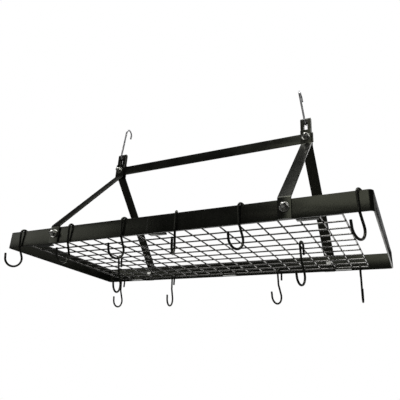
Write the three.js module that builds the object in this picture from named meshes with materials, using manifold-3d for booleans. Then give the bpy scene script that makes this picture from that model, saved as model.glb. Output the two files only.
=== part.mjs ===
// Hanging pot rack: a bent flat-bar frame with a lift-out wire grid, carried by two
// strap hangers and a crossbar on a pair of wire ceiling hooks, with twelve pot hooks.
// Millimetres, +Z up, X along the long rails, the front rail towards -Y.
// The origin is halfway between the two points where the ceiling hooks are hung.
import * as THREE from "three";
import { mergeVertices } from "three/addons/utils/BufferGeometryUtils.js";
import Module from "manifold-3d";

const wasm = await Module();
wasm.setup();

// ---- Driving dimensions -------------------------------------------------------

// Frame: one flat bar on edge, bent round four corners and butt-welded at the front.
const frameLength = 838;
const frameWidth = 412;
const barHeight = 38.1;
const barThickness = 3.2;
const cornerRadius = 9;
const seamWidth = 0.8;
const seamDepth = 0.4;

// Clearances: pieces that touch, and holes round their bolts.
const seatGap = 0.3;
const holeClearance = 0.45;

// Support tabs: short angles under the grid, three on each long rail.
const tabWidth = 38;
const tabRise = 10;
const tabBendRadius = 1.5;
const tabLip = 5;
const tabInset = 113;

// Grid: two layers of straight wires welded at every crossing.
const gridWireDiameter = 3.2;
const gridPitch = 38.4;
const gridEndMargin = 48;
const gridWireSides = 6;
const weldSink = 0.4;

// Hangers: bent straps from the rails up to the crossbar.
const strapWidth = 25.4;
const strapThickness = 3.2;
const strapBendRadius = 5;
const hangerInset = 149;
const railBoltDrop = 16;
const footBendRise = 3;
const apexRise = 238;
const apexBendDrop = 20;
const apexEndRise = 19;

// Crossbar between the two hangers.
const crossbarHeight = 25.4;
const crossbarThickness = 3.2;
const crossbarOverhang = 16;

// Slotted bracket: a strip folded over the crossbar like a clevis.
const bracketRise = 54;
const bracketDrop = 12.7;
const bracketCornerEase = 0.1;
const slotHeadroom = 11;

// Bolts, washers and cap nuts.
const boltDiameter = 7.8;
const hexAcrossFlats = 12.7;
const boltHeadHeight = 5;
const washerDiameter = 19;
const washerThickness = 1.6;
const nutHexHeight = 6;
const nutDomeHeight = 7;
const nutDomeInset = 0.2;
const nutBoreDepth = 9;

// Pot hooks.
const hookWireDiameter = 4.8;
const crookRadius = 8;
const shortLegLength = 20;
const hookHeight = 91;
const kneeInset = 3;
const kneeBelowBar = 1;
const throatRadius = 19;
const throatOffset = 12.6;
const tipLength = 9;
const tipFlare = 1.5;

// Ceiling hooks.
const ceilingWireDiameter = 4.8;
const eyeRadius = 10;
const hangRadius = 12;
const ceilingHookSpan = 75;
const ceilingTipLength = 10;
const ceilingLean = THREE.MathUtils.degToRad(7);

// ---- Derived places -----------------------------------------------------------

const rightEnd = frameLength / 2;
const rightHanger = rightEnd - hangerInset;
const tabOffset = rightEnd - tabInset;
const railOuterY = frameWidth / 2;
const railInnerY = railOuterY - barThickness;
const boltHoleDiameter = boltDiameter + 2 * holeClearance;
const hookWireRadius = hookWireDiameter / 2;
const ceilingWireRadius = ceilingWireDiameter / 2;

// The stack on the apex bolt, from the crossbar outwards.
const bracketInnerY = crossbarThickness / 2 + seatGap;
const bracketOuterY = bracketInnerY + strapThickness;
const apexStrapY = bracketOuterY + seatGap + strapThickness / 2;
const footStrapY = railOuterY + seatGap + strapThickness / 2;

// The ceiling hook's eye passes through both slots and bears on their upper ends
// where it leaves the bracket's outer faces.
const bearingAngle = Math.asin(bracketOuterY / eyeRadius);
const eyeBottomDrop =
  seatGap + eyeRadius * (1 - Math.cos(bearingAngle)) + ceilingWireRadius / Math.cos(bearingAngle);
const slotTopRise = apexRise + bracketRise - slotHeadroom;
const eyeBottomRise = slotTopRise - eyeBottomDrop;
const hangReach = eyeRadius + ceilingHookSpan + hangRadius - ceilingWireRadius;

// The grid takes as many wires as fit: a hook's crook must still pass between the
// outermost long wire and the rail.
const gridSideMargin = crookRadius + hookWireRadius + seatGap;
const longWireCount = wiresWithin(2 * (railInnerY - gridSideMargin));
const crossWireCount = wiresWithin(frameLength - 2 * (barThickness + gridEndMargin));
const lastLongWireY = ((longWireCount - 1) * gridPitch) / 2;

// Heights in the part's frame: zero is the line on which the ceiling hooks hang.
const railTopZ = -(eyeBottomRise + hangReach * Math.cos(ceilingLean));
const railBottomZ = railTopZ - barHeight;
const railBoltZ = railTopZ - railBoltDrop;
const apexZ = railTopZ + apexRise;
const tabTopZ = railBottomZ + barThickness;
const gridWireRadius = gridWireDiameter / 2;
const gridWireHalfHeight = gridWireRadius * Math.cos(Math.PI / gridWireSides);
const longWireZ = tabTopZ + seatGap + gridWireHalfHeight;
const crossWireZ = longWireZ + 2 * gridWireHalfHeight - weldSink;

function wiresWithin(span) {
  return Math.floor(span / gridPitch) + 1;
}

function gridPlaces(count) {
  return Array.from({ length: count }, (_, i) => (i - (count - 1) / 2) * gridPitch);
}

// Where the pot hooks hang. On the rail: the place along X and the turn about the
// vertical. On the grid: the long wire counted from the rear, the nearest cross wire
// counted from the left and the distance from it, the turn, and the free swing.
const railHooks = [
  { x: -rightEnd + 46, turn: 22 },
  { x: -rightHanger + 45, turn: 0 },
  { x: -78, turn: 18 },
  { x: 48, turn: -22 },
  { x: rightHanger - 83, turn: 23 },
  { x: rightEnd - 22, turn: 25 },
];
const gridHooks = [
  { row: 0, cross: 0, beside: 5, turn: 4, swing: 0 },
  { row: 6, cross: 4, beside: 6.2, turn: -10, swing: 7.5 },
  { row: 0, cross: 5, beside: -6.2, turn: -6, swing: 0 },
  { row: 0, cross: 13, beside: 8.6, turn: 22, swing: 0 },
  { row: 6, cross: 16, beside: 8.4, turn: 12, swing: 7.5 },
  { row: 0, cross: 18, beside: 18.6, turn: -8, swing: 0 },
];

// ---- Materials ----------------------------------------------------------------

function satinBlackBar() {
  return new THREE.MeshStandardMaterial({ color: 0x1b1b19, roughness: 0.48, metalness: 0.35 });
}

function blackWire() {
  return new THREE.MeshStandardMaterial({ color: 0x161614, roughness: 0.38, metalness: 0.35 });
}

function brightChrome() {
  return new THREE.MeshStandardMaterial({ color: 0xc9cacb, roughness: 0.14, metalness: 1 });
}

function platedWire() {
  return new THREE.MeshStandardMaterial({ color: 0xc2c3c4, roughness: 0.22, metalness: 1 });
}

// ---- Solid helpers ------------------------------------------------------------

function toSolid(geometry) {
  const bare = geometry.clone();
  bare.deleteAttribute("normal");
  bare.deleteAttribute("uv");
  const merged = mergeVertices(bare, 1e-4);
  return new wasm.Manifold(
    new wasm.Mesh({
      numProp: 3,
      vertProperties: merged.attributes.position.array,
      triVerts: new Uint32Array(merged.index.array),
    }),
  );
}

function toGeometry(solid) {
  const { vertProperties, triVerts } = solid.getMesh();
  const geometry = new THREE.BufferGeometry();
  geometry.setAttribute("position", new THREE.BufferAttribute(vertProperties, 3));
  geometry.setIndex(new THREE.BufferAttribute(triVerts, 1));
  const faceted = geometry.toNonIndexed();
  faceted.computeVertexNormals();
  return faceted;
}

function cut(geometry, tools) {
  return toGeometry(tools.reduce((solid, tool) => solid.subtract(toSolid(tool)), toSolid(geometry)));
}

function join(geometries) {
  const [first, ...rest] = geometries.map(toSolid);
  return toGeometry(rest.reduce((solid, next) => solid.add(next), first));
}

// A profile drawn with Y to the right and Z up, extruded to both sides of x.
function extrudeAlongX(profile, width, x) {
  const geometry = new THREE.ExtrudeGeometry(profile, { depth: width, bevelEnabled: false });
  const turn = new THREE.Matrix4().makeBasis(
    new THREE.Vector3(0, 1, 0),
    new THREE.Vector3(0, 0, 1),
    new THREE.Vector3(1, 0, 0),
  );
  return geometry.applyMatrix4(turn).translate(x - width / 2, 0, 0);
}

function cylinderAlongY(diameter, length, x, y, z, sides) {
  const radius = diameter / 2;
  return new THREE.CylinderGeometry(radius, radius, length, sides).translate(x, y, z);
}

function boltHole(x, y, z, depth) {
  return cylinderAlongY(boltHoleDiameter, depth, x, y, z, 16);
}

function placeMesh(name, geometry, material) {
  const mesh = new THREE.Mesh(geometry, material);
  mesh.name = name;
  return mesh;
}

// ---- Bent strips --------------------------------------------------------------

// The outline of a strip of even thickness that follows a route of straight runs,
// with a round bend of the given inside radius at each corner.
function bentStrip(route, thickness, insideRadius, bendSteps = 4) {
  const half = thickness / 2;
  const middleRadius = insideRadius + half;
  const left = [];
  const right = [];
  const addPair = (point, normal) => {
    left.push(point.clone().addScaledVector(normal, half));
    right.unshift(point.clone().addScaledVector(normal, -half));
  };
  const directionTo = (i) => route[i + 1].clone().sub(route[i]).normalize();
  const leftOf = (direction) => new THREE.Vector2(-direction.y, direction.x);
  addPair(route[0], leftOf(directionTo(0)));
  for (let i = 1; i < route.length - 1; i++) {
    const before = directionTo(i - 1);
    const after = directionTo(i);
    const bend = Math.atan2(before.cross(after), before.dot(after));
    const side = Math.sign(bend);
    const setback = middleRadius * Math.tan(Math.abs(bend) / 2);
    const start = route[i].clone().addScaledVector(before, -setback);
    const centre = start.clone().addScaledVector(leftOf(before), side * middleRadius);
    for (let k = 0; k <= bendSteps; k++) {
      const direction = before.clone().rotateAround(new THREE.Vector2(), (bend * k) / bendSteps);
      const point = centre.clone().addScaledVector(leftOf(direction), -side * middleRadius);
      addPair(point, leftOf(direction));
    }
  }
  addPair(route.at(-1), leftOf(directionTo(route.length - 2)));
  return new THREE.Shape([...left, ...right]);
}

// ---- Bent wire ----------------------------------------------------------------

// A path through chosen stations, which an extrusion then visits one by one.
class StationPath extends THREE.Curve {
  constructor(stations) {
    super();
    this.stations = stations;
  }

  getPoint(t) {
    const along = THREE.MathUtils.clamp(t, 0, 1) * (this.stations.length - 1);
    const i = Math.min(Math.floor(along), this.stations.length - 2);
    return this.stations[i].clone().lerp(this.stations[i + 1], along - i);
  }

  getPointAt(u) {
    return this.getPoint(u);
  }

  getTangentAt(u) {
    return this.getTangent(u);
  }
}

// Stations on an arc in the YZ plane, its angles measured from +Y towards +Z.
function arcStations(y, z, radius, fromAngle, toAngle, steps) {
  return Array.from({ length: steps + 1 }, (_, k) => {
    const angle = fromAngle + ((toAngle - fromAngle) * k) / steps;
    return new THREE.Vector3(0, y + radius * Math.cos(angle), z + radius * Math.sin(angle));
  });
}

function roundWire(stations, diameter, sides = 8) {
  const section = new THREE.Shape(
    Array.from({ length: sides }, (_, k) => {
      const angle = ((k + 0.5) * 2 * Math.PI) / sides;
      return new THREE.Vector2(Math.cos(angle), Math.sin(angle)).multiplyScalar(diameter / 2);
    }),
  );
  return new THREE.ExtrudeGeometry(section, {
    steps: stations.length - 1,
    extrudePath: new StationPath(stations),
  });
}

// ---- Frame --------------------------------------------------------------------

function roundedRectangle(path, halfLength, halfWidth, radius) {
  path.absarc(halfLength - radius, halfWidth - radius, radius, 0, Math.PI / 2);
  path.absarc(radius - halfLength, halfWidth - radius, radius, Math.PI / 2, Math.PI);
  path.absarc(radius - halfLength, radius - halfWidth, radius, Math.PI, 1.5 * Math.PI);
  path.absarc(halfLength - radius, radius - halfWidth, radius, 1.5 * Math.PI, 2 * Math.PI);
  return path;
}

function frameGeometry() {
  const insideRadius = cornerRadius - barThickness;
  const outline = roundedRectangle(new THREE.Shape(), rightEnd, railOuterY, cornerRadius);
  const inside = roundedRectangle(
    new THREE.Path(),
    rightEnd - barThickness,
    railInnerY,
    insideRadius,
  );
  outline.holes.push(inside);
  const ring = new THREE.ExtrudeGeometry(outline, {
    depth: barHeight,
    bevelEnabled: false,
    curveSegments: 3,
  }).translate(0, 0, railBottomZ);
  const holes = [-rightHanger, rightHanger].map((x) => boltHole(x, 0, railBoltZ, 2 * frameWidth));
  const seam = new THREE.BoxGeometry(seamWidth, 2 * seamDepth, 2 * barHeight);
  seam.translate(-tabWidth / 2, -railOuterY, railTopZ);
  return cut(ring, [...holes, seam]);
}

// An angle with one leg on the rail's inside and the other under the grid wires.
function tabGeometry(side, x) {
  const half = barThickness / 2;
  const wallY = side * (railInnerY - seatGap - half);
  const shelfZ = railBottomZ + half;
  const route = [
    new THREE.Vector2(wallY, railBottomZ + tabRise),
    new THREE.Vector2(wallY, shelfZ),
    new THREE.Vector2(side * (lastLongWireY - tabLip), shelfZ),
  ];
  return extrudeAlongX(bentStrip(route, barThickness, tabBendRadius), tabWidth, x);
}

// ---- Grid ---------------------------------------------------------------------

function gridGeometry() {
  const longLength = (crossWireCount - 1) * gridPitch + gridWireDiameter;
  const crossLength = (longWireCount - 1) * gridPitch + gridWireDiameter;
  const rod = (length) =>
    new THREE.CylinderGeometry(gridWireRadius, gridWireRadius, length, gridWireSides);
  // Each rod keeps a flat on top and below, where the two layers are welded.
  const flatTurn = Math.PI / gridWireSides;
  const longWires = gridPlaces(longWireCount).map((y) =>
    rod(longLength).rotateZ(Math.PI / 2).rotateX(flatTurn).translate(0, y, longWireZ),
  );
  const crossWires = gridPlaces(crossWireCount).map((x) =>
    rod(crossLength).rotateY(flatTurn).translate(x, 0, crossWireZ),
  );
  return join([...longWires, ...crossWires]);
}

// ---- Hangers ------------------------------------------------------------------

function strapGeometry(side, x) {
  const route = [
    new THREE.Vector2(side * footStrapY, railBottomZ),
    new THREE.Vector2(side * footStrapY, railTopZ + footBendRise),
    new THREE.Vector2(side * apexStrapY, apexZ - apexBendDrop),
    new THREE.Vector2(side * apexStrapY, apexZ + apexEndRise),
  ];
  const strip = extrudeAlongX(bentStrip(route, strapThickness, strapBendRadius), strapWidth, x);
  const holeDepth = 4 * strapThickness;
  return cut(strip, [
    boltHole(x, side * footStrapY, railBoltZ, holeDepth),
    boltHole(x, side * apexStrapY, apexZ, holeDepth),
  ]);
}

function crossbarGeometry() {
  const length = 2 * (rightHanger + crossbarOverhang);
  const bar = new THREE.BoxGeometry(length, crossbarThickness, crossbarHeight);
  bar.translate(0, 0, apexZ);
  const holes = [-rightHanger, rightHanger].map((x) => boltHole(x, 0, apexZ, 4 * crossbarThickness));
  return cut(bar, holes);
}

function bracketGeometry(x) {
  const legY = (bracketInnerY + bracketOuterY) / 2;
  const top = apexZ + bracketRise - strapThickness / 2;
  const bottom = apexZ - bracketDrop;
  const route = [
    new THREE.Vector2(legY, bottom),
    new THREE.Vector2(legY, top),
    new THREE.Vector2(-legY, top),
    new THREE.Vector2(-legY, bottom),
  ];
  const cornerInside = bracketInnerY - bracketCornerEase;
  const clevis = extrudeAlongX(bentStrip(route, strapThickness, cornerInside), strapWidth, x);
  const slotRadius = boltHoleDiameter / 2;
  const slot = new THREE.Shape();
  slot.absarc(0, apexZ, slotRadius, Math.PI, 2 * Math.PI);
  slot.absarc(0, railTopZ + slotTopRise - slotRadius, slotRadius, 0, Math.PI);
  const depth = 4 * bracketOuterY;
  const slotTool = new THREE.ExtrudeGeometry(slot, { depth, bevelEnabled: false, curveSegments: 4 });
  slotTool.rotateX(Math.PI / 2).translate(x, depth / 2, 0);
  return cut(clevis, [slotTool]);
}

// ---- Bolts --------------------------------------------------------------------

const hexDiameter = hexAcrossFlats / Math.cos(Math.PI / 6);

// All fasteners point along Y: the head sits at headY and the nut towards `side`.
function boltGeometry(side, x, headY, washerY, z) {
  const shankEnd = washerY + side * (washerThickness + seatGap + nutBoreDepth - 2 * seatGap);
  const shankLength = Math.abs(shankEnd - headY) + boltHeadHeight / 2;
  const shankMiddle = (shankEnd + headY - (side * boltHeadHeight) / 2) / 2;
  const headMiddle = headY - (side * boltHeadHeight) / 2;
  return join([
    cylinderAlongY(boltDiameter, shankLength, x, shankMiddle, z, 12),
    cylinderAlongY(hexDiameter, boltHeadHeight, x, headMiddle, z, 6),
  ]);
}

function washerGeometry(side, x, washerY, z) {
  const middle = washerY + (side * washerThickness) / 2;
  const disc = cylinderAlongY(washerDiameter, washerThickness, x, middle, z, 20);
  return cut(disc, [boltHole(x, middle, z, 3 * washerThickness)]);
}

function capNutGeometry(side, x, nutY, z) {
  const hex = new THREE.CylinderGeometry(hexDiameter / 2, hexDiameter / 2, nutHexHeight, 6);
  hex.translate(0, nutHexHeight / 2, 0);
  const domeRadius = hexAcrossFlats / 2 - nutDomeInset;
  const domeProfile = [
    new THREE.Vector2(0, nutHexHeight / 2),
    new THREE.Vector2(domeRadius, nutHexHeight / 2),
  ];
  const domeSteps = 5;
  for (let k = 0; k <= domeSteps; k++) {
    const angle = ((Math.PI / 2) * k) / domeSteps;
    const across = k === domeSteps ? 0 : domeRadius * Math.cos(angle);
    domeProfile.push(new THREE.Vector2(across, nutHexHeight + nutDomeHeight * Math.sin(angle)));
  }
  const dome = new THREE.LatheGeometry(domeProfile, 12);
  const boreRadius = boltHoleDiameter / 2;
  const bore = new THREE.CylinderGeometry(boreRadius, boreRadius, 2 * nutBoreDepth, 12);
  const nut = cut(join([hex, dome]), [bore]);
  if (side < 0) nut.rotateX(Math.PI);
  return nut.translate(x, nutY, z);
}

// ---- Pot hooks ----------------------------------------------------------------

// Drawn in the YZ plane with the inside top of the crook at the origin: the short leg
// is behind, the shaft in front, and below its knee the shaft slants back so that the
// throat's load hangs near the crook.
function potHookGeometry() {
  const crookZ = hookWireRadius - crookRadius;
  const throatZ = hookWireRadius - hookHeight + throatRadius;
  const knee = new THREE.Vector3(0, kneeInset - crookRadius, -barHeight - kneeBelowBar);
  const toKnee = Math.hypot(knee.y + throatOffset, knee.z - throatZ);
  const throatStart =
    Math.atan2(knee.z - throatZ, knee.y + throatOffset) - Math.acos(throatRadius / toKnee);
  return roundWire(
    [
      new THREE.Vector3(0, crookRadius, crookZ - shortLegLength),
      ...arcStations(0, crookZ, crookRadius, 0, Math.PI, 6),
      knee,
      ...arcStations(-throatOffset, throatZ, throatRadius, throatStart, -Math.PI, 9),
      new THREE.Vector3(0, -throatOffset - throatRadius - tipFlare, throatZ + tipLength),
    ],
    hookWireDiameter,
  );
}

// A hook over the rail's top edge: the round crook clears the bar's two square corners.
function railHookMesh(place, index) {
  const insideRadius = crookRadius - hookWireRadius;
  const cornerDrop = insideRadius - Math.sqrt(insideRadius ** 2 - (barThickness / 2) ** 2);
  const mesh = placeMesh(`rail_hook_${index + 1}`, potHookGeometry(), blackWire());
  mesh.position.set(place.x, barThickness / 2 - railOuterY, railTopZ + cornerDrop + seatGap);
  mesh.rotation.z = -THREE.MathUtils.degToRad(place.turn);
  return mesh;
}

// A hook over a long grid wire, swung about that wire's middle.
function gridHookMesh(place, index) {
  const swinging = new THREE.Group();
  const x = gridPlaces(crossWireCount)[place.cross] + place.beside;
  swinging.position.set(x, lastLongWireY - place.row * gridPitch, longWireZ);
  swinging.rotation.x = THREE.MathUtils.degToRad(place.swing);
  const mesh = placeMesh(`grid_hook_${index + 1}`, potHookGeometry(), blackWire());
  mesh.position.z = gridWireRadius + seatGap;
  mesh.rotation.z = -THREE.MathUtils.degToRad(place.turn);
  swinging.add(mesh);
  return swinging;
}

// ---- Ceiling hooks ------------------------------------------------------------

// Drawn in the YZ plane with the lowest point of the eye's centreline at the origin.
function ceilingHookGeometry() {
  const hangZ = eyeRadius + ceilingHookSpan;
  return roundWire(
    [
      new THREE.Vector3(0, eyeRadius, eyeRadius + ceilingTipLength),
      ...arcStations(0, eyeRadius, eyeRadius, 0, -Math.PI, 8),
      ...arcStations(0, hangZ, hangRadius, Math.PI, 0, 8),
      new THREE.Vector3(0, hangRadius, hangZ - ceilingTipLength),
    ],
    ceilingWireDiameter,
  );
}

function ceilingHookMesh(name, side) {
  const mesh = placeMesh(name, ceilingHookGeometry(), platedWire());
  mesh.position.set(side * rightHanger, 0, railTopZ + eyeBottomRise);
  mesh.rotation.y = -side * ceilingLean;
  return mesh;
}

// ---- Assembly -----------------------------------------------------------------

const sides = [
  { end: "left", x: -rightHanger, sign: -1 },
  { end: "right", x: rightHanger, sign: 1 },
];
const rails = [
  { rail: "front", sign: -1 },
  { rail: "rear", sign: 1 },
];
const tabPlaces = [
  { spot: "left", x: -tabOffset },
  { spot: "middle", x: 0 },
  { spot: "right", x: tabOffset },
];

const rack = new THREE.Group();
rack.name = "hanging_pot_rack";
rack.add(placeMesh("frame", frameGeometry(), satinBlackBar()));
rack.add(placeMesh("wire_grid", gridGeometry(), blackWire()));
rack.add(placeMesh("crossbar", crossbarGeometry(), satinBlackBar()));

for (const { rail, sign } of rails) {
  for (const { spot, x } of tabPlaces) {
    rack.add(placeMesh(`tab_${rail}_${spot}`, tabGeometry(sign, x), satinBlackBar()));
  }
  for (const { end, x } of sides) {
    const headY = sign * (railInnerY - seatGap);
    const washerY = sign * (footStrapY + strapThickness / 2 + seatGap);
    const nutY = washerY + sign * (washerThickness + seatGap);
    const bolt = boltGeometry(sign, x, headY, washerY, railBoltZ);
    const washer = washerGeometry(sign, x, washerY, railBoltZ);
    const capNut = capNutGeometry(sign, x, nutY, railBoltZ);
    rack.add(
      placeMesh(`strap_${rail}_${end}`, strapGeometry(sign, x), satinBlackBar()),
      placeMesh(`rail_bolt_${rail}_${end}`, bolt, brightChrome()),
      placeMesh(`rail_washer_${rail}_${end}`, washer, brightChrome()),
      placeMesh(`rail_cap_nut_${rail}_${end}`, capNut, brightChrome()),
    );
  }
}

for (const { end, x, sign } of sides) {
  const stackY = apexStrapY + strapThickness / 2 + seatGap;
  const nutY = -stackY - washerThickness - seatGap;
  rack.add(
    placeMesh(`hanger_bracket_${end}`, bracketGeometry(x), satinBlackBar()),
    placeMesh(`apex_bolt_${end}`, boltGeometry(-1, x, stackY, -stackY, apexZ), brightChrome()),
    placeMesh(`apex_washer_${end}`, washerGeometry(-1, x, -stackY, apexZ), brightChrome()),
    placeMesh(`apex_cap_nut_${end}`, capNutGeometry(-1, x, nutY, apexZ), brightChrome()),
    ceilingHookMesh(`ceiling_hook_${end}`, sign),
  );
}

railHooks.forEach((place, index) => rack.add(railHookMesh(place, index)));
gridHooks.forEach((place, index) => rack.add(gridHookMesh(place, index)));

export default rack;
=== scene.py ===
import math

import bmesh
import bpy
import numpy as np
from mathutils import Matrix, Vector


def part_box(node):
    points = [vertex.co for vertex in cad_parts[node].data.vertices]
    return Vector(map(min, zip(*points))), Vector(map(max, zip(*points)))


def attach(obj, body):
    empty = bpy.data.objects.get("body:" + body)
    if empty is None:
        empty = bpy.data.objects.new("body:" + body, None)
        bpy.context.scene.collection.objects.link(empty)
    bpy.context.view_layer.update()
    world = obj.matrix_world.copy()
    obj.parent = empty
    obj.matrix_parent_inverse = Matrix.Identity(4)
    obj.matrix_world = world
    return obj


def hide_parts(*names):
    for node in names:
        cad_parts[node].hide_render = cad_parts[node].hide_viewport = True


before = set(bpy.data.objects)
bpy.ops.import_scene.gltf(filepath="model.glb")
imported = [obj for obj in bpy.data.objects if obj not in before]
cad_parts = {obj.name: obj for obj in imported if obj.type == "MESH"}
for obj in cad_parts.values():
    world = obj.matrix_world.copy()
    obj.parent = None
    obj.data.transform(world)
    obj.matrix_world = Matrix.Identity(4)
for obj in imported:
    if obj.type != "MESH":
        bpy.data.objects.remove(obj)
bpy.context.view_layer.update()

MM = 0.001


# ---- Sizes --------------------------------------------------------------------
# The frame bar's box gives the main sizes, in metres. The others repeat the CAD's.

frame_low, frame_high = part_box("frame")
RIGHT_END, RAIL_OUTER_Y, RAIL_TOP = frame_high
RAIL_BOTTOM = frame_low.z
BAR_HEIGHT = RAIL_TOP - RAIL_BOTTOM
BAR_THICKNESS = 3.2 * MM
HALF_BAR = BAR_THICKNESS / 2
RAIL_INNER_Y = RAIL_OUTER_Y - BAR_THICKNESS
CORNER_RADIUS = 9 * MM
GAP = 0.3 * MM
SIDES = (("left", -1), ("right", 1))
RAILS = (("front", -1), ("rear", 1))
QUARTERS = ((1, 1), (-1, 1), (-1, -1), (1, -1))

# The tabs under the grid, and the frame's seam at the left edge of the front rail's middle tab.
TAB_X = RIGHT_END - 113 * MM
TAB_WIDTH = 38 * MM
TAB_RISE = 10 * MM
TAB_LIP = 5 * MM
TAB_BEND = 1.5 * MM
SEAM_X = -TAB_WIDTH / 2
SEAM_WIDTH = 0.8 * MM
SEAM_DEPTH = 0.4 * MM
SEAM_REACH = 2 * SEAM_WIDTH

# The grid. The CAD's wires are six-sided, so its layers lie a little closer than round wires would.
WIRE_RADIUS = 1.6 * MM
WIRE_HALF_HEIGHT = WIRE_RADIUS * math.cos(math.pi / 6)
PITCH = 38.4 * MM
LONG_WIRES = 11
CROSS_WIRES = 20
WELD_SINK = 0.4 * MM
LAST_WIRE_Y = (LONG_WIRES - 1) / 2 * PITCH
LONG_WIRE_Z = RAIL_BOTTOM + BAR_THICKNESS + GAP + WIRE_HALF_HEIGHT
LAYER_STEP = 2 * WIRE_HALF_HEIGHT - WELD_SINK

# The hangers: strap, crossbar and folded bracket.
HANGER_X = RIGHT_END - 149 * MM
BOLT_Z = RAIL_TOP - 16 * MM
APEX_Z = RAIL_TOP + 238 * MM
STRAP_WIDTH = 25.4 * MM
STRAP_BEND = 5 * MM
FOOT_BEND_RISE = 3 * MM
APEX_BEND_DROP = 20 * MM
APEX_END_RISE = 19 * MM
CROSSBAR_HEIGHT = 25.4 * MM
CROSSBAR_OVERHANG = 16 * MM
BRACKET_TOP = APEX_Z + 54 * MM
BRACKET_BOTTOM = APEX_Z - 12.7 * MM
BRACKET_CORNER_EASE = 0.1 * MM
SLOT_TOP = BRACKET_TOP - 11 * MM

# How the pieces stack along the apex bolt, from the crossbar's middle out.
BRACKET_INNER_Y = HALF_BAR + GAP
BRACKET_OUTER_Y = BRACKET_INNER_Y + BAR_THICKNESS
APEX_STRAP_Y = BRACKET_OUTER_Y + GAP + HALF_BAR
APEX_STACK_Y = APEX_STRAP_Y + HALF_BAR + GAP

# Bolts, washers and cap nuts.
BOLT_RADIUS = 3.9 * MM
HOLE_RADIUS = BOLT_RADIUS + 0.45 * MM
HEX_FLATS = 12.7 * MM
HEX_CORNERS = HEX_FLATS / math.cos(math.pi / 6) / 2
HEAD_HEIGHT = 5 * MM
WASHER_RADIUS = 9.5 * MM
WASHER_THICKNESS = 1.6 * MM
NUT_HEX_HEIGHT = 6 * MM
NUT_DOME_HEIGHT = 7 * MM
NUT_BORE_DEPTH = 9 * MM

# The pot hooks and the ceiling hooks, both of the same wire. Radii are to the wire's centreline.
HOOK_WIRE_RADIUS = 2.4 * MM
CROOK_RADIUS = 8 * MM
SHORT_LEG = 20 * MM
HOOK_HEIGHT = 91 * MM
KNEE_INSET = 3 * MM
KNEE_BELOW_BAR = 1 * MM
THROAT_RADIUS = 19 * MM
THROAT_OFFSET = 12.6 * MM
TIP_LENGTH = 9 * MM
TIP_FLARE = 1.5 * MM
EYE_RADIUS = 10 * MM
HANG_RADIUS = 12 * MM
CEILING_HOOK_SPAN = 75 * MM
CEILING_TIP = 10 * MM
CEILING_LEAN = 7

# Hooks on the front rail: the place along X, and the turn about the vertical in degrees.
RAIL_HOOKS = (
    (-RIGHT_END + 46 * MM, 22),
    (-HANGER_X + 45 * MM, 0),
    (-78 * MM, 18),
    (48 * MM, -22),
    (HANGER_X - 83 * MM, 23),
    (RIGHT_END - 22 * MM, 25),
)

# Hooks on the grid: the long wire counted from the rear, the nearest cross wire counted from the
# left, the distance from it, the turn about the vertical and the free swing, both in degrees.
GRID_HOOKS = (
    (0, 0, 5 * MM, 4, 0),
    (6, 4, 6.2 * MM, -10, 7.5),
    (0, 5, -6.2 * MM, -6, 0),
    (0, 13, 8.6 * MM, 22, 0),
    (6, 16, 8.4 * MM, 12, 7.5),
    (0, 18, 18.6 * MM, -8, 0),
)


def grid_places(count):
    """The places of so many wires at the grid's pitch, centred on the rack."""
    return [(i - (count - 1) / 2) * PITCH for i in range(count)]


# ---- Camera -------------------------------------------------------------------
# Solved from the photo: the focal length in pixels, the place, and the turn vector that takes
# the frame's axes to the camera's right, down and forward.

IMAGE_SIDE = 400
SENSOR = 36.0
FOCAL_PIXELS = 433.47
CAMERA_PLACE = (0.4643, -0.9113, -0.6717)
CAMERA_TURN = (1.15089, 0.31558, -0.36778)
CLIP_NEAR = 0.01
CLIP_FAR = 60


def photo_camera():
    turn = Vector(CAMERA_TURN)
    rows = Matrix.Rotation(turn.length, 3, turn.normalized())
    right, down, forward = (Vector(row) for row in rows)
    axes = Matrix((right, -down, -forward)).transposed()
    data = bpy.data.cameras.new("camera")
    data.sensor_width = SENSOR
    data.lens = FOCAL_PIXELS * SENSOR / IMAGE_SIDE
    data.clip_start = CLIP_NEAR
    data.clip_end = CLIP_FAR
    camera = bpy.data.objects.new("camera", data)
    camera.matrix_world = Matrix.Translation(CAMERA_PLACE) @ axes.to_4x4()
    bpy.context.collection.objects.link(camera)
    bpy.context.scene.camera = camera


# ---- Light and floor ----------------------------------------------------------

# The surround's stops: the direction's height, from 0 straight down to 1 straight up, and the grey.
SURROUND = ((0.10, 0.14), (0.45, 0.04), (0.78, 0.01), (0.97, 0.03))

# Soft lights: name, place, the point that the light faces, width, height and watts.
SOFT_LIGHTS = (
    # The sheen at the front rail's two ends, with the dark middle left between them.
    ("left_box", (-2.51, -1.91, 0.42), (0.03, 0.02, -0.35), 1.64, 0.8, 3.9),
    ("front_box", (0.26, -2.6, 0.84), (0.26, 0, -0.35), 1.12, 1.02, 5.5),
    # The general light from above, and a weak one from the right rear.
    ("top_box", (0, -0.40, 2.1), (0, 0, -0.35), 3.2, 1.4, 30),
    ("rear_box", (2.6, 1.6, 0.4), (0, 0, -0.35), 1.6, 1.0, 3),
    # A small faint light behind the right end, a high one in front and two wide ones behind.
    ("edge_box", (0.56, 2.5, 0.6), (0.42, 0, -0.39), 0.3, 0.6, 0.2),
    ("high_box", (0.2, -1.7, 2.2), (0, 0, -0.35), 1.1, 0.7, 20),
    ("far_box", (0.8, 2.4, 1.7), (0, 0, -0.35), 1.6, 1.0, 10),
    ("under_box", (-0.3, 2.2, -0.95), (0, 0, -0.35), 3.0, 0.7, 9),
)

FLOOR_Z = -1.75
FLOOR_HALF_SIDE = 2.6
FLOOR_GREY = (0.62, 0.62, 0.61, 1)
FLOOR_ROUGHNESS = 0.8
FLOOR_GLOW = 0.8


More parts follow.
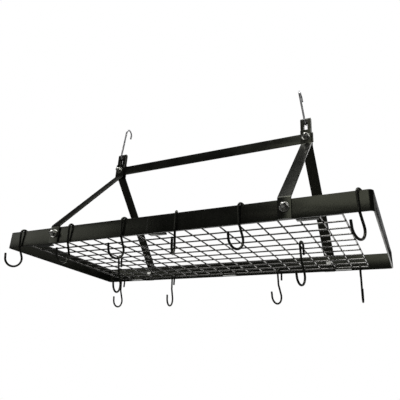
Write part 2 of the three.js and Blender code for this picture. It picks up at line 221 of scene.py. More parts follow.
def studio_world():
    """White behind the object, and a dim soft surround for its light and reflections."""
    world = bpy.data.worlds.new("studio")
    bpy.context.scene.world = world
    world.use_nodes = True
    tree = world.node_tree
    tree.nodes.clear()
    link = tree.links.new
    place = tree.nodes.new("ShaderNodeTexCoord")
    split = tree.nodes.new("ShaderNodeSeparateXYZ")
    ramp = tree.nodes.new("ShaderNodeValToRGB")
    lift = tree.nodes.new("ShaderNodeMapRange")
    lift.inputs["From Min"].default_value = -1
    lift.inputs["From Max"].default_value = 1
    stops = ramp.color_ramp.elements
    for _ in range(len(SURROUND) - len(stops)):
        stops.new(0.5)
    for stop, (height, grey) in zip(stops, SURROUND):
        stop.position = height
        stop.color = (grey, grey, grey, 1)
    surround = tree.nodes.new("ShaderNodeBackground")
    backdrop = tree.nodes.new("ShaderNodeBackground")
    backdrop.inputs["Color"].default_value = (1, 1, 1, 1)
    rays = tree.nodes.new("ShaderNodeLightPath")
    mix = tree.nodes.new("ShaderNodeMixShader")
    out = tree.nodes.new("ShaderNodeOutputWorld")
    link(place.outputs["Generated"], split.inputs[0])
    link(split.outputs["Z"], lift.inputs["Value"])
    link(lift.outputs[0], ramp.inputs[0])
    link(ramp.outputs["Color"], surround.inputs["Color"])
    link(rays.outputs["Is Camera Ray"], mix.inputs[0])
    link(surround.outputs[0], mix.inputs[1])
    link(backdrop.outputs[0], mix.inputs[2])
    link(mix.outputs[0], out.inputs["Surface"])


def softbox(name, place, target, width, height, watts):
    data = bpy.data.lights.new(name, "AREA")
    data.shape = "RECTANGLE"
    data.size = width
    data.size_y = height
    data.energy = watts
    light = bpy.data.objects.new(name, data)
    light.location = place
    light.rotation_euler = (Vector(target) - Vector(place)).to_track_quat("-Z", "Y").to_euler()
    light.visible_camera = False
    bpy.context.collection.objects.link(light)


def pale_floor():
    mesh = bpy.data.meshes.new("floor")
    made = bmesh.new()
    bmesh.ops.create_grid(made, x_segments=8, y_segments=8, size=FLOOR_HALF_SIDE)
    made.to_mesh(mesh)
    made.free()
    floor = bpy.data.objects.new("floor", mesh)
    floor.location = (0, 0, FLOOR_Z)
    bpy.context.collection.objects.link(floor)
    paint = bpy.data.materials.new("floor_paint")
    paint.use_nodes = True
    shader = paint.node_tree.nodes["Principled BSDF"]
    shader.inputs["Base Color"].default_value = FLOOR_GREY
    shader.inputs["Roughness"].default_value = FLOOR_ROUGHNESS
    shader.inputs["Emission Color"].default_value = FLOOR_GREY
    shader.inputs["Emission Strength"].default_value = FLOOR_GLOW
    mesh.materials.append(paint)
    floor.visible_diffuse = False
    floor.visible_glossy = False


photo_camera()
studio_world()
for soft_light in SOFT_LIGHTS:
    softbox(*soft_light)
pale_floor()


# ---- Materials ----------------------------------------------------------------

# The black coat's reflections are slightly warm and green.
COAT_TINT = (1.0, 1.03, 0.78, 1)
BARE_STEEL = (0.16, 0.155, 0.15)
DUST = (0.30, 0.29, 0.27)
SCRATCH_HEIGHT = 0.012 * MM


class Nodes:
    """Short calls for making a material's node tree."""

    def __init__(self, name):
        self.material = bpy.data.materials.new(name)
        self.material.use_nodes = True
        self.tree = self.material.node_tree
        self.shader = self.tree.nodes["Principled BSDF"]
        self.place = self.tree.nodes.new("ShaderNodeTexCoord").outputs["Object"]

    def link(self, source, target):
        self.tree.links.new(source, target)

    def noise(self, scale, detail, stretch=None):
        """Cloudy noise of so many features to the metre, stretched along the axes if asked."""
        node = self.tree.nodes.new("ShaderNodeTexNoise")
        node.inputs["Scale"].default_value = scale
        node.inputs["Detail"].default_value = detail
        source = self.place
        if stretch:
            mapping = self.tree.nodes.new("ShaderNodeMapping")
            mapping.inputs["Scale"].default_value = stretch
            self.link(source, mapping.inputs["Vector"])
            source = mapping.outputs[0]
        self.link(source, node.inputs["Vector"])
        return node.outputs["Fac"]

    def spread(self, value, low, high, start, end):
        """Maps the stretch from start to end onto low to high, and holds low and high beyond it."""
        node = self.tree.nodes.new("ShaderNodeMapRange")
        node.inputs["From Min"].default_value = start
        node.inputs["From Max"].default_value = end
        node.inputs["To Min"].default_value = low
        node.inputs["To Max"].default_value = high
        self.link(value, node.inputs["Value"])
        return node.outputs[0]

    def times(self, first, second):
        node = self.tree.nodes.new("ShaderNodeMath")
        node.operation = "MULTIPLY"
        node.use_clamp = True
        self.link(first, node.inputs[0])
        self.link(second, node.inputs[1])
        return node.outputs[0]

    def mix(self, share, first, second):
        """Mixes two colours, each a colour or the output of a node."""
        node = self.tree.nodes.new("ShaderNodeMix")
        node.data_type = "RGBA"
        self.link(share, node.inputs[0])
        for source, socket in ((first, node.inputs[6]), (second, node.inputs[7])):
            if isinstance(source, tuple):
                socket.default_value = (*source, 1)
            else:
                self.link(source, socket)
        return node.outputs[2]

    def attribute(self, name):
        node = self.tree.nodes.new("ShaderNodeAttribute")
        node.attribute_name = name
        return node.outputs["Fac"]

    def facing_up(self):
        shape = self.tree.nodes.new("ShaderNodeNewGeometry")
        split = self.tree.nodes.new("ShaderNodeSeparateXYZ")
        self.link(shape.outputs["Normal"], split.inputs[0])
        return split.outputs["Z"]

    def bump(self, height, distance, strength, after=None):
        node = self.tree.nodes.new("ShaderNodeBump")
        node.inputs["Distance"].default_value = distance
        node.inputs["Strength"].default_value = strength
        self.link(height, node.inputs["Height"])
        if after:
            self.link(after, node.inputs["Normal"])
        return node.outputs[0]

    def set(self, **values):
        """Sets or links the shader's sockets, named with _ for each space."""
        for name, value in values.items():
            socket = self.shader.inputs[name.replace("_", " ")]
            if isinstance(value, bpy.types.NodeSocket):
                self.link(value, socket)
            else:
                socket.default_value = value


def coated_steel(name, colour, gloss, peel_size, peel_height):
    """Black coating over steel: orange peel, cloudy gloss, rubbed places and a little dust."""
    nodes = Nodes(name)
    cloud = nodes.noise(scale=14, detail=4)
    grain = nodes.noise(scale=900, detail=2)
    lighter = tuple(1.7 * channel + 0.002 for channel in colour)
    coat = nodes.mix(nodes.spread(cloud, 0, 1, start=0.35, end=0.7), colour, lighter)
    marks = nodes.spread(nodes.noise(scale=420, detail=4), 0, 1, start=0.42, end=0.62)
    worn = nodes.times(nodes.attribute("wear"), marks)
    steel = nodes.mix(worn, coat, BARE_STEEL)
    settled = nodes.spread(nodes.facing_up(), 0, 0.10, start=0.5, end=1)
    specks = nodes.spread(nodes.noise(scale=160, detail=5), 0, 1, start=0.4, end=0.75)
    dusty = nodes.mix(nodes.times(settled, specks), steel, DUST)
    rough = nodes.spread(cloud, gloss - 0.05, gloss + 0.07, start=0.3, end=0.7)
    peel = nodes.bump(nodes.noise(scale=1 / peel_size, detail=2), peel_height, strength=0.8)
    surface = nodes.bump(grain, peel_height * 0.35, strength=0.5, after=peel)
    nodes.set(Base_Color=dusty, Metallic=worn, Roughness=rough, Normal=surface)
    nodes.set(Specular_Tint=COAT_TINT)
    return nodes.material


def bright_metal(name, colour, tarnish, gloss, streak):
    """Bright plating: clouded shine, fine rubbing marks and a darker tone in patches."""
    nodes = Nodes(name)
    cloud = nodes.noise(scale=90, detail=4)
    marks = nodes.noise(scale=700, detail=3, stretch=streak)
    tone = nodes.mix(nodes.spread(cloud, 0, 1, start=0.45, end=0.8), colour, tarnish)
    rough = nodes.spread(cloud, gloss, gloss + 0.10, start=0.35, end=0.75)
    scratch = nodes.bump(marks, SCRATCH_HEIGHT, strength=0.6)
    nodes.set(Base_Color=tone, Metallic=1.0, Roughness=rough, Normal=scratch)
    return nodes.material


bar_black = coated_steel(
    "satin_black_bar", (0.0050, 0.0052, 0.0042), gloss=0.23, peel_size=1.6 * MM, peel_height=0.04 * MM
)
wire_black = coated_steel(
    "black_wire", (0.0050, 0.0050, 0.0045), gloss=0.20, peel_size=2.4 * MM, peel_height=0.02 * MM
)
grid_metal = bright_metal(
    "black_nickel_wire", (0.26, 0.255, 0.24), (0.19, 0.185, 0.175), gloss=0.12, streak=(3, 3, 3)
)
chrome = bright_metal(
    "bright_chrome", (0.68, 0.68, 0.63), (0.50, 0.50, 0.46), gloss=0.09, streak=(1, 6, 1)
)
plated = bright_metal(
    "zinc_plated_wire", (0.78, 0.78, 0.79), (0.56, 0.56, 0.57), gloss=0.20, streak=(3, 3, 0.4)
)


# ---- Mesh code ----------------------------------------------------------------

# An edge is shaded sharp where its faces meet at more than this angle, in degrees.
BAR_SHARP = 16
HARDWARE_SHARP = 24
WIRE_SHARP = 40

# How many straight steps make a bar's rounded edge, the frame's corner and half a slot's end.
EDGE_STEPS = 4
CORNER_STEPS = 12
SLOT_STEPS = 12

# A hook's centreline: how far apart its points are, and how far its kinks are softened.
PATH_STEP = 0.9 * MM
PATH_SOFTENING = 1.3 * MM


def mesh_from(name, points, faces, sharp_degrees):
    mesh = bpy.data.meshes.new(name)
    mesh.from_pydata([tuple(p) for p in points], [], faces)
    mesh.validate()
    finish_mesh(mesh, sharp_degrees)
    return mesh


def finish_mesh(mesh, sharp_degrees):
    """Turns the faces outwards and shades them smooth between sharp edges."""
    made = bmesh.new()
    made.from_mesh(mesh)
    bmesh.ops.recalc_face_normals(made, faces=made.faces)
    made.to_mesh(mesh)
    made.free()
    mesh.polygons.foreach_set("use_smooth", [True] * len(mesh.polygons))
    mesh.set_sharp_from_angle(angle=math.radians(sharp_degrees))


def add_piece(name, mesh, material, slot, body, *nodes):
    piece = bpy.data.objects.new(name, mesh)
    mesh.materials.clear()
    mesh.materials.append(material)
    bpy.context.collection.objects.link(piece)
    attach(piece, body)
    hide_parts(*nodes)


def add_wear(mesh, rule):
    """Stores how far the coating is rubbed at each point, from a rule of the point."""
    layer = mesh.attributes.new("wear", "FLOAT", "POINT")
    layer.data.foreach_set("value", [rule(v.co) for v in mesh.vertices])


def combine(operation, mesh, *others):
    """Joins other closed meshes to a mesh, cuts them from it or keeps what they share with it."""
    base = bpy.data.objects.new("combine_base", mesh)
    bpy.context.collection.objects.link(base)
    helpers = []
    for other in others:
        helper = bpy.data.objects.new("combine_tool", other)
        bpy.context.collection.objects.link(helper)
        helpers.append(helper)
        step = base.modifiers.new("step", "BOOLEAN")
        step.operation = operation
        step.solver = "MANIFOLD"
        step.object = helper
    depsgraph = bpy.context.evaluated_depsgraph_get()
    result = bpy.data.meshes.new_from_object(base.evaluated_get(depsgraph))
    for used in (base, *helpers):
        bpy.data.objects.remove(used)
    return result


def circle(radius, sides):
    return [
        Vector((radius * math.cos(2 * math.pi * k / sides), radius * math.sin(2 * math.pi * k / sides)))
        for k in range(sides)
    ]


def rounded_bar(width, edge=0.5 * MM):
    """A flat bar's section: its thickness along the path's normal, its width across the path."""
    outline = []
    for quarter, (u, v) in enumerate(QUARTERS):
        for k in range(EDGE_STEPS + 1):
            angle = (quarter + k / EDGE_STEPS) * math.pi / 2
            along_normal = u * (HALF_BAR - edge) + edge * math.cos(angle)
            across = v * (width / 2 - edge) + edge * math.sin(angle)
            outline.append(Vector((along_normal, across)))
    return outline


def sweep(name, path, side, section, sharp_degrees, ends=(), closed=False):
    """Sweeps a section along a plane path. side is the direction square to the path's plane. ends
    gives steps (distance from the end, share of the section) that round off or chamfer both ends."""
    side = Vector(side)
    path = [Vector(p) for p in path]
    count = len(path)
    rings = []
    for i, point in enumerate(path):
        if closed:
            tangent = path[(i + 1) % count] - path[i - 1]
            first = (point - path[i - 1]).normalized()
            second = (path[(i + 1) % count] - point).normalized()
        else:
            tangent = path[min(i + 1, count - 1)] - path[max(i - 1, 0)]
            first = (point - path[i - 1]).normalized() if i else None
            second = (path[i + 1] - point).normalized() if i < count - 1 else None
        tangent.normalize()
        # A mitre is wider than the section, here at most twice as wide.
        stretch = 1.0
        if first and second:
            stretch = 1 / max(math.sqrt((1 + first.dot(second)) / 2), 0.5)
        rings.append((point, tangent, stretch, 1.0))
    if ends:
        start, start_way = rings[0][0], rings[0][1]
        stop, stop_way = rings[-1][0], rings[-1][1]
        rings = (
            [(start + d * start_way, start_way, 1.0, share) for d, share in ends]
            + rings[1:-1]
            + [(stop - d * stop_way, stop_way, 1.0, share) for d, share in reversed(ends)]
        )
    points = []
    for point, tangent, stretch, share in rings:
        normal = side.cross(tangent)
        for corner in section:
            points.append(point + normal * corner.x * stretch * share + side * corner.y * share)
    sides = len(section)
    faces = []
    steps = len(rings) if closed else len(rings) - 1
    for i in range(steps):
        here, there = i * sides, ((i + 1) % len(rings)) * sides
        for k in range(sides):
            after = (k + 1) % sides
            faces.append((here + k, here + after, there + after, there + k))
    if not closed:
        faces.append(tuple(reversed(range(sides))))
        faces.append(tuple((len(rings) - 1) * sides + k for k in range(sides)))
    return mesh_from(name, points, faces, sharp_degrees)


def chamfer(share, length):
    """End steps for a bar: the share of the section left at the cut end, and the chamfer's length."""
    return [(0, share), (length, 1.0)]


def dome_ends(radius, steps=4):
    """End steps that give a wire a low rounded end with a small flat."""
    low = 0.45 * radius
    ends = []
    for k in range(steps, 0, -1):
        angle = k / steps * math.pi / 2
        ends.append((low * (1 - math.sin(angle)), max(math.cos(angle), 0.25)))
    return ends + [(low, 1.0)]


def turned(name, profile, sides):
    """Turns a profile of (radius, height) points, open at the axis, about the Z axis."""
    points, faces = [], []
    for radius, height in profile:
        points += [Vector((p.x, p.y, height)) for p in circle(radius, sides)]
    for i in range(len(profile) - 1):
        here, there = i * sides, (i + 1) * sides
        for k in range(sides):
            after = (k + 1) % sides
            faces.append((here + k, here + after, there + after, there + k))
    faces.append(tuple(reversed(range(sides))))
    faces.append(tuple((len(profile) - 1) * sides + k for k in range(sides)))
    return mesh_from(name, points, faces, HARDWARE_SHARP)


def bolt_hole(x, y, z):
    """Cuts a bolt's hole along Y through a bar whose middle is at this place."""
    half_length = 2 * BAR_THICKNESS
    mesh = turned("bolt_hole", [(HOLE_RADIUS, -half_length), (HOLE_RADIUS, half_length)], sides=24)
    mesh.transform(Matrix.Translation((x, y, z)) @ Matrix.Rotation(math.pi / 2, 4, "X"))
    return mesh


def arc(centre, radius, start, end, steps):
    """Points in the YZ plane, with angles from +Y towards +Z."""
    angles = [start + (end - start) * k / steps for k in range(steps + 1)]
    return [
        Vector((0, centre[0] + radius * math.cos(angle), centre[1] + radius * math.sin(angle)))
        for angle in angles
    ]


def bent_route(route, radius, steps=8):
    """A route of straight runs in the YZ plane, with a round bend at each inner corner."""
    path = [Vector((0, *route[0]))]
    for before, at, after in zip(route, route[1:], route[2:]):
        before, at, after = Vector(before), Vector(at), Vector(after)
        way_in = (at - before).normalized()
        way_out = (after - at).normalized()
        bend = math.atan2(way_in.x * way_out.y - way_in.y * way_out.x, way_in.dot(way_out))
        setback = radius * math.tan(abs(bend) / 2)
        start = at - way_in * setback
        square = Vector((-way_in.y, way_in.x)) * math.copysign(1, bend)
        centre = start + square * radius
        arm = -square * radius
        for k in range(steps + 1):
            cosine, sine = math.cos(bend * k / steps), math.sin(bend * k / steps)
            point = centre + Vector((arm.x * cosine - arm.y * sine, arm.x * sine + arm.y * cosine))
            path.append(Vector((0, *point)))
    path.append(Vector((0, *route[-1])))
    return path


def even_path(path):
    """Resamples a path evenly and softens its kinks, with both ends kept."""
    points = np.array([tuple(p) for p in path])
    length = np.r_[0, np.cumsum(np.linalg.norm(np.diff(points, axis=0), axis=1))]
    count = int(length[-1] / PATH_STEP) + 1
    places = np.linspace(0, length[-1], count)
    even = np.stack([np.interp(places, length, points[:, axis]) for axis in range(3)], axis=1)
    reach = int(3 * PATH_SOFTENING / PATH_STEP)
    weights = np.exp(-0.5 * (np.arange(-reach, reach + 1) * PATH_STEP / PATH_SOFTENING) ** 2)
    weights /= weights.sum()
    # Each end is continued by its own reflection, which keeps it in place.
    before = 2 * even[0] - even[reach:0:-1]
    after = 2 * even[-1] - even[-2 : -reach - 2 : -1]
    padded = np.vstack([before, even, after])
    smooth = np.stack([np.convolve(padded[:, axis], weights, "valid") for axis in range(3)], axis=1)
    return [Vector(p) for p in smooth]


# ---- Frame and tabs -----------------------------------------------------------


def seam_tool():
    """Cuts the open line of the butt weld into the front rail's outer face."""
    made = bmesh.new()
    bmesh.ops.create_cube(made, size=1)
    mesh = bpy.data.meshes.new("seam_tool")
    shape = Matrix.Diagonal((SEAM_WIDTH, 2 * SEAM_DEPTH, 2 * BAR_HEIGHT, 1))
    made.transform(Matrix.Translation((SEAM_X, -RAIL_OUTER_Y, RAIL_TOP)) @ shape)
    made.to_mesh(mesh)
    made.free()
    return mesh


def frame_piece():
    radius = CORNER_RADIUS - HALF_BAR
    path = []
    for quarter, (sx, sy) in enumerate(QUARTERS):
        centre_x = sx * (RIGHT_END - CORNER_RADIUS)
        centre_y = sy * (RAIL_OUTER_Y - CORNER_RADIUS)
        for k in range(CORNER_STEPS + 1):
            angle = (quarter + k / CORNER_STEPS) * math.pi / 2
            path.append((centre_x + radius * math.cos(angle), centre_y + radius * math.sin(angle), 0))
        # Two more points on the front rail keep the seam's wear beside the seam.
        if (sx, sy) == (-1, -1):
            path += [(SEAM_X + step, HALF_BAR - RAIL_OUTER_Y, 0) for step in (-SEAM_REACH, SEAM_REACH)]
    mesh = sweep("frame_bar", path, (0, 0, 1), rounded_bar(BAR_HEIGHT), BAR_SHARP, closed=True)
    mesh.transform(Matrix.Translation((0, 0, (RAIL_TOP + RAIL_BOTTOM) / 2)))
    tools = []
    for _, sign in SIDES:
        for _, side in RAILS:
            tools.append(bolt_hole(sign * HANGER_X, side * (RAIL_OUTER_Y - HALF_BAR), BOLT_Z))
    tools.append(seam_tool())
    mesh = combine("DIFFERENCE", mesh, *tools)
    finish_mesh(mesh, BAR_SHARP)

    def rubbed(p):
        """The ground weld at the seam shines through the coat, and the rail's top is rubbed."""
        if p.y < 0 and abs(p.x - SEAM_X) < SEAM_WIDTH:
            return 2.5
        return 0.25 if abs(p.z - RAIL_TOP) < 0.4 * MM else 0.05

    add_wear(mesh, rubbed)
    add_piece("frame_bar", mesh, bar_black, "satin_black_bar", "rack", "frame")


def tab_piece(rail, side, spot, x):
    """An angle: a wall inside the rail and a shelf under the grid's outer wire."""
    wall = side * (RAIL_INNER_Y - GAP - HALF_BAR)
    shelf = RAIL_BOTTOM + HALF_BAR
    route = [(wall, RAIL_BOTTOM + TAB_RISE), (wall, shelf), (side * (LAST_WIRE_Y - TAB_LIP), shelf)]
    path = bent_route(route, TAB_BEND + HALF_BAR)
    mesh = sweep("tab", path, (1, 0, 0), rounded_bar(TAB_WIDTH, edge=0.35 * MM), BAR_SHARP)
    mesh.transform(Matrix.Translation((x, 0, 0)))
    add_wear(mesh, lambda p: 0.1)
    name = f"tab_{rail}_{spot}"
    add_piece(f"{name}_bent", mesh, bar_black, "satin_black_bar", "rack", name)


# ---- Grid ---------------------------------------------------------------------

WELD_RADIUS = 2.05 * MM
WELD_HALF_HEIGHT = 0.85 * MM


def rods(places, length, height, along_x):
    """Straight wires along X or Y in one mesh, with slightly rounded cut ends."""
    section = circle(WIRE_RADIUS, sides=16)
    whole = bmesh.new()
    for place in places:
        path = [Vector((step * length / 2, place, height)) for step in (-1, 0, 1)]
        if not along_x:
            path = [point.yxz for point in path]
        rod = sweep("rod", path, (0, 0, 1), section, WIRE_SHARP, dome_ends(WIRE_RADIUS, steps=2))
        whole.from_mesh(rod)
        bpy.data.meshes.remove(rod)
    mesh = bpy.data.meshes.new("rods")
    whole.to_mesh(mesh)
    whole.free()
    return mesh


def weld_spots(xs, ys, height):
    """A flat bead of weld at each crossing."""
    whole = bmesh.new()
    shape = Matrix.Diagonal((WELD_RADIUS, WELD_RADIUS, WELD_HALF_HEIGHT, 1))
    for x in xs:
        for y in ys:
            place = Matrix.Translation((x, y, height)) @ shape
            bmesh.ops.create_icosphere(whole, subdivisions=2, radius=1, matrix=place)
    mesh = bpy.data.meshes.new("welds")
    whole.to_mesh(mesh)
    whole.free()
    return mesh


def grid_piece():
    xs, ys = grid_places(CROSS_WIRES), grid_places(LONG_WIRES)
    overhang = 2 * WIRE_RADIUS
    long_length = (CROSS_WIRES - 1) * PITCH + overhang
    cross_length = (LONG_WIRES - 1) * PITCH + overhang
    long_wires = rods(ys, long_length, LONG_WIRE_Z, along_x=True)
    cross_wires = rods(xs, cross_length, LONG_WIRE_Z + LAYER_STEP, along_x=False)
    welds = weld_spots(xs, ys, LONG_WIRE_Z + LAYER_STEP / 2)
    mesh = combine("UNION", long_wires, cross_wires, welds)
    finish_mesh(mesh, WIRE_SHARP)
    add_piece("welded_grid", mesh, grid_metal, "black_wire", "grid", "wire_grid")


# ---- Hangers ------------------------------------------------------------------


def strap_piece(rail, side, end, sign):
    x = sign * HANGER_X
    foot_y = side * (RAIL_OUTER_Y + GAP + HALF_BAR)
    apex_y = side * APEX_STRAP_Y
    route = [
        (foot_y, RAIL_BOTTOM),
        (foot_y, RAIL_TOP + FOOT_BEND_RISE),
        (apex_y, APEX_Z - APEX_BEND_DROP),
        (apex_y, APEX_Z + APEX_END_RISE),
    ]
    path = bent_route(route, STRAP_BEND + HALF_BAR, steps=10)
    ends = chamfer(share=0.93, length=0.35 * MM)
    mesh = sweep("strap", path, (1, 0, 0), rounded_bar(STRAP_WIDTH), BAR_SHARP, ends)
    mesh.transform(Matrix.Translation((x, 0, 0)))
    mesh = combine("DIFFERENCE", mesh, bolt_hole(x, foot_y, BOLT_Z), bolt_hole(x, apex_y, APEX_Z))
    finish_mesh(mesh, BAR_SHARP)
    add_wear(mesh, lambda p: 0.08)
    name = f"strap_{rail}_{end}"
    add_piece(f"{name}_bent", mesh, bar_black, "satin_black_bar", "rack", name)


def crossbar_piece():
    half_length = HANGER_X + CROSSBAR_OVERHANG
    path = [(step * half_length, 0, APEX_Z) for step in (-1, 0, 1)]
    ends = chamfer(share=0.95, length=0.3 * MM)
    mesh = sweep("crossbar", path, (0, 0, 1), rounded_bar(CROSSBAR_HEIGHT), BAR_SHARP, ends)
    tools = [bolt_hole(sign * HANGER_X, 0, APEX_Z) for _, sign in SIDES]
    mesh = combine("DIFFERENCE", mesh, *tools)
    finish_mesh(mesh, BAR_SHARP)
    add_wear(mesh, lambda p: 0.05)
    add_piece("crossbar_flat", mesh, bar_black, "satin_black_bar", "rack", "crossbar")


def slot_tool(x):
    """Cuts the bracket's round-ended slot along Y, from round the apex bolt up to its top."""
    outline = []
    for centre, start in ((APEX_Z, math.pi), (SLOT_TOP - HOLE_RADIUS, 0)):
        for angle in np.linspace(start, start + math.pi, SLOT_STEPS + 1):
            outline.append((HOLE_RADIUS * math.cos(angle), centre + HOLE_RADIUS * math.sin(angle)))
    depth = 20 * MM
    count = len(outline)
    points = [(x + u, y, v) for y in (-depth, depth) for u, v in outline]
    faces = [(k, (k + 1) % count, count + (k + 1) % count, count + k) for k in range(count)]
    faces += [tuple(range(count)), tuple(range(count, 2 * count))]
    return mesh_from("slot", points, faces, HARDWARE_SHARP)


def bracket_piece(end, sign):
    """A strip folded over the crossbar. The ceiling hook's eye rubs the top of its slot."""
    x = sign * HANGER_X
    leg = (BRACKET_INNER_Y + BRACKET_OUTER_Y) / 2
    top = BRACKET_TOP - HALF_BAR
    route = [(leg, BRACKET_BOTTOM), (leg, top), (-leg, top), (-leg, BRACKET_BOTTOM)]
    path = bent_route(route, BRACKET_INNER_Y - BRACKET_CORNER_EASE + HALF_BAR)
    section = rounded_bar(STRAP_WIDTH, edge=0.4 * MM)
    ends = chamfer(share=0.94, length=0.3 * MM)
    mesh = sweep("bracket", path, (1, 0, 0), section, BAR_SHARP, ends)
    mesh.transform(Matrix.Translation((x, 0, 0)))
    mesh = combine("DIFFERENCE", mesh, slot_tool(x))
    finish_mesh(mesh, BAR_SHARP)
    add_wear(mesh, lambda p: 0.9 if p.z > SLOT_TOP - 3 * MM and abs(p.x - x) < 4 * MM else 0.1)
    name = f"hanger_bracket_{end}"
    add_piece(f"{name}_folded", mesh, bar_black, "satin_black_bar", "rack", name)


# ---- Bolts, washers and cap nuts ----------------------------------------------

HEX_CHAMFER = math.radians(30)
HEX_FACE_RADIUS = 0.98 * HEX_FLATS / 2
WASHER_EDGE = 0.35 * MM
SHANK_CHAMFER = 0.6 * MM
DOME_INSET = 0.25 * MM
DOME_TIP_RADIUS = 0.2 * MM
DOME_STEPS = 15


def hexagon(height, both_ends):
    """A hexagon from 0 to height along Z, its corners chamfered by a cone at 0 or at both ends."""
    block = turned("hex", [(HEX_CORNERS, 0), (HEX_CORNERS, height)], sides=6)
    reach = HEX_CORNERS + 1 * MM
    rise = (reach - HEX_FACE_RADIUS) * math.tan(HEX_CHAMFER)
    profile = [(HEX_FACE_RADIUS, 0), (reach, rise)]
    if both_ends:
        profile += [(reach, height - rise), (HEX_FACE_RADIUS, height)]
    else:
        profile += [(reach, height)]
    return combine("INTERSECT", block, turned("cone", profile, sides=48))


def point_along(mesh, side, x, y, z):
    """Turns a mesh drawn along +Z to point along Y, towards side, and puts its foot at a place."""
    quarter = Matrix.Rotation(-side * math.pi / 2, 4, "X")
    mesh.transform(Matrix.Translation((x, y, z)) @ quarter)


def cap_nut_piece(name, side, x, y, z):
    radius = HEX_FLATS / 2 - DOME_INSET
    profile = [(radius, NUT_HEX_HEIGHT / 2), (radius, NUT_HEX_HEIGHT)]
    for k in range(1, DOME_STEPS):
        angle = k / DOME_STEPS * math.pi / 2
        profile.append((radius * math.cos(angle), NUT_HEX_HEIGHT + NUT_DOME_HEIGHT * math.sin(angle)))
    profile.append((DOME_TIP_RADIUS, NUT_HEX_HEIGHT + NUT_DOME_HEIGHT))
    solid = combine("UNION", hexagon(NUT_HEX_HEIGHT, both_ends=True), turned("dome", profile, sides=40))
    bore = turned("bore", [(HOLE_RADIUS, -1 * MM), (HOLE_RADIUS, NUT_BORE_DEPTH)], sides=24)
    mesh = combine("DIFFERENCE", solid, bore)
    point_along(mesh, side, x, y, z)
    finish_mesh(mesh, HARDWARE_SHARP)
    add_piece(f"{name}_domed", mesh, chrome, "bright_chrome", "rack", name)


def washer_piece(name, side, x, y, z):
    inner = WASHER_RADIUS - WASHER_EDGE
    profile = [(inner, 0), (WASHER_RADIUS, WASHER_EDGE)]
    profile += [(WASHER_RADIUS, WASHER_THICKNESS - WASHER_EDGE), (inner, WASHER_THICKNESS)]
    hole = turned("hole", [(HOLE_RADIUS, -1 * MM), (HOLE_RADIUS, 3 * MM)], sides=32)
    mesh = combine("DIFFERENCE", turned("washer", profile, sides=48), hole)
    point_along(mesh, side, x, y, z)
    finish_mesh(mesh, HARDWARE_SHARP)
    add_piece(f"{name}_rounded", mesh, chrome, "bright_chrome", "rack", name)


def bolt_piece(name, side, x, head_y, washer_y, z):
    """A bolt with the underside of its head at head_y, and its end just short of the bore's end."""
    head = hexagon(HEAD_HEIGHT, both_ends=False)
    head.transform(Matrix.Translation((0, 0, -HEAD_HEIGHT)))
    shank_end = abs(washer_y - head_y) + WASHER_THICKNESS + NUT_BORE_DEPTH - GAP
    profile = [
        (BOLT_RADIUS, -HEAD_HEIGHT / 2),
        (BOLT_RADIUS, shank_end - SHANK_CHAMFER),
        (BOLT_RADIUS - SHANK_CHAMFER, shank_end),
    ]
    mesh = combine("UNION", head, turned("shank", profile, sides=24))
    point_along(mesh, side, x, head_y, z)
    finish_mesh(mesh, HARDWARE_SHARP)
    add_piece(f"{name}_hex", mesh, chrome, "bright_chrome", "rack", name)


def bolt_set(kind, place, side, x, head_y, washer_y, z):
    """A bolt pushed through along Y, towards side, with its washer and its cap nut."""
    nut_y = washer_y + side * (WASHER_THICKNESS + GAP)
    bolt_piece(f"{kind}_bolt_{place}", side, x, head_y, washer_y, z)
    washer_piece(f"{kind}_washer_{place}", side, x, washer_y, z)
    cap_nut_piece(f"{kind}_cap_nut_{place}", side, x, nut_y, z)


# ---- Wire hooks ---------------------------------------------------------------


def pot_hook_path():
    """The pot hook's centreline with the inside top of its crook at the origin."""
    crook_z = HOOK_WIRE_RADIUS - CROOK_RADIUS
    throat_y = -THROAT_OFFSET
    throat_z = HOOK_WIRE_RADIUS - HOOK_HEIGHT + THROAT_RADIUS
    knee = Vector((KNEE_INSET - CROOK_RADIUS, -BAR_HEIGHT - KNEE_BELOW_BAR))
    rise = knee - Vector((throat_y, throat_z))
    start = math.atan2(rise.y, rise.x) - math.acos(THROAT_RADIUS / rise.length)
    path = [Vector((0, CROOK_RADIUS, crook_z - SHORT_LEG))]
    path += arc((0, crook_z), CROOK_RADIUS, 0, math.pi, steps=32)
    path += [Vector((0, *knee))]
    path += arc((throat_y, throat_z), THROAT_RADIUS, start, -math.pi, steps=48)
    path += [Vector((0, throat_y - THROAT_RADIUS - TIP_FLARE, throat_z + TIP_LENGTH))]
    return even_path(path)


def pot_hook_mesh():
    section = circle(HOOK_WIRE_RADIUS, sides=18)
    ends = dome_ends(HOOK_WIRE_RADIUS)
    mesh = sweep("pot_hook", pot_hook_path(), (1, 0, 0), section, WIRE_SHARP, ends)

    def rubbed(p):
        """Rubbed where the crook bears on its rail or wire, and where pots hang in the throat."""
        in_crook = -2.6 * MM < p.z < 1.2 * MM and abs(p.y) < 5 * MM
        in_throat = -89.5 * MM < p.z < -84 * MM and abs(p.y + THROAT_OFFSET) < 9 * MM
        return 0.85 if in_crook else 0.5 if in_throat else 0.12

    add_wear(mesh, rubbed)
    return mesh


def ceiling_hook_mesh():
    """The ceiling hook with the bottom of its eye's centreline at the origin."""
    hang_z = EYE_RADIUS + CEILING_HOOK_SPAN
    path = [Vector((0, EYE_RADIUS, EYE_RADIUS + CEILING_TIP))]
    path += arc((0, EYE_RADIUS), EYE_RADIUS, 0, -math.pi, steps=36)
    path += arc((0, hang_z), HANG_RADIUS, math.pi, 0, steps=40)
    path += [Vector((0, HANG_RADIUS, hang_z - CEILING_TIP))]
    section = circle(HOOK_WIRE_RADIUS, sides=20)
    ends = dome_ends(HOOK_WIRE_RADIUS)
    return sweep("ceiling_hook", even_path(path), (1, 0, 0), section, WIRE_SHARP, ends)


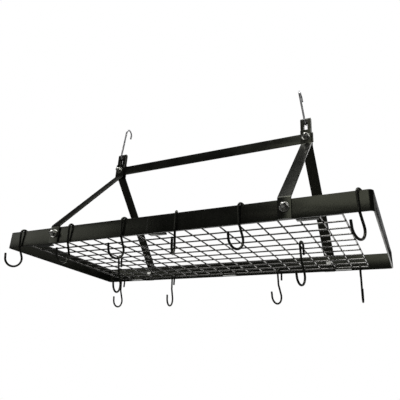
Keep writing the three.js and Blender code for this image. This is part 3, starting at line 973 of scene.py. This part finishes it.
def turn_about(axis, degrees):
    return Matrix.Rotation(math.radians(degrees), 4, axis)


def rail_hook_pieces():
    """Hooks over the rail's top edge: the round crook clears the bar's two square corners."""
    inside = CROOK_RADIUS - HOOK_WIRE_RADIUS
    corner_drop = inside - math.sqrt(inside**2 - HALF_BAR**2)
    for number, (x, turn) in enumerate(RAIL_HOOKS, 1):
        mesh = pot_hook_mesh()
        place = Matrix.Translation((x, HALF_BAR - RAIL_OUTER_Y, RAIL_TOP + corner_drop + GAP))
        mesh.transform(place @ turn_about("Z", -turn))
        name = f"rail_hook_{number}"
        add_piece(f"{name}_wire", mesh, wire_black, "black_wire", name, name)


def grid_hook_pieces():
    """Hooks over a long grid wire, swung about that wire's middle."""
    lift = Matrix.Translation((0, 0, WIRE_RADIUS + GAP))
    for number, (row, cross, beside, turn, swing) in enumerate(GRID_HOOKS, 1):
        mesh = pot_hook_mesh()
        x = grid_places(CROSS_WIRES)[cross] + beside
        pivot = Matrix.Translation((x, LAST_WIRE_Y - row * PITCH, LONG_WIRE_Z))
        mesh.transform(pivot @ turn_about("X", swing) @ lift @ turn_about("Z", -turn))
        name = f"grid_hook_{number}"
        add_piece(f"{name}_wire", mesh, wire_black, "black_wire", name, name)


def ceiling_hook_pieces():
    """Each eye passes through the bracket's two slots and bears on their upper ends, at the
    bracket's outer faces."""
    bearing = math.asin(BRACKET_OUTER_Y / EYE_RADIUS)
    eye_drop = GAP + EYE_RADIUS * (1 - math.cos(bearing)) + HOOK_WIRE_RADIUS / math.cos(bearing)
    for end, sign in SIDES:
        mesh = ceiling_hook_mesh()
        place = Matrix.Translation((sign * HANGER_X, 0, SLOT_TOP - eye_drop))
        mesh.transform(place @ turn_about("Y", -sign * CEILING_LEAN))
        name = f"ceiling_hook_{end}"
        add_piece(f"{name}_wire", mesh, plated, "zinc_plated_wire", "ceiling_hooks", name)


# ---- Assembly -----------------------------------------------------------------

frame_piece()
grid_piece()
crossbar_piece()
for rail, side in RAILS:
    for spot, x in (("left", -TAB_X), ("middle", 0), ("right", TAB_X)):
        tab_piece(rail, side, spot, x)
    head_y = side * (RAIL_INNER_Y - GAP)
    washer_y = side * (RAIL_OUTER_Y + 2 * GAP + BAR_THICKNESS)
    for end, sign in SIDES:
        strap_piece(rail, side, end, sign)
        bolt_set("rail", f"{rail}_{end}", side, sign * HANGER_X, head_y, washer_y, BOLT_Z)
for end, sign in SIDES:
    bracket_piece(end, sign)
    bolt_set("apex", end, -1, sign * HANGER_X, APEX_STACK_Y, -APEX_STACK_Y, APEX_Z)
rail_hook_pieces()
grid_hook_pieces()
ceiling_hook_pieces()

scene = bpy.context.scene
scene.view_settings.view_transform = "Standard"
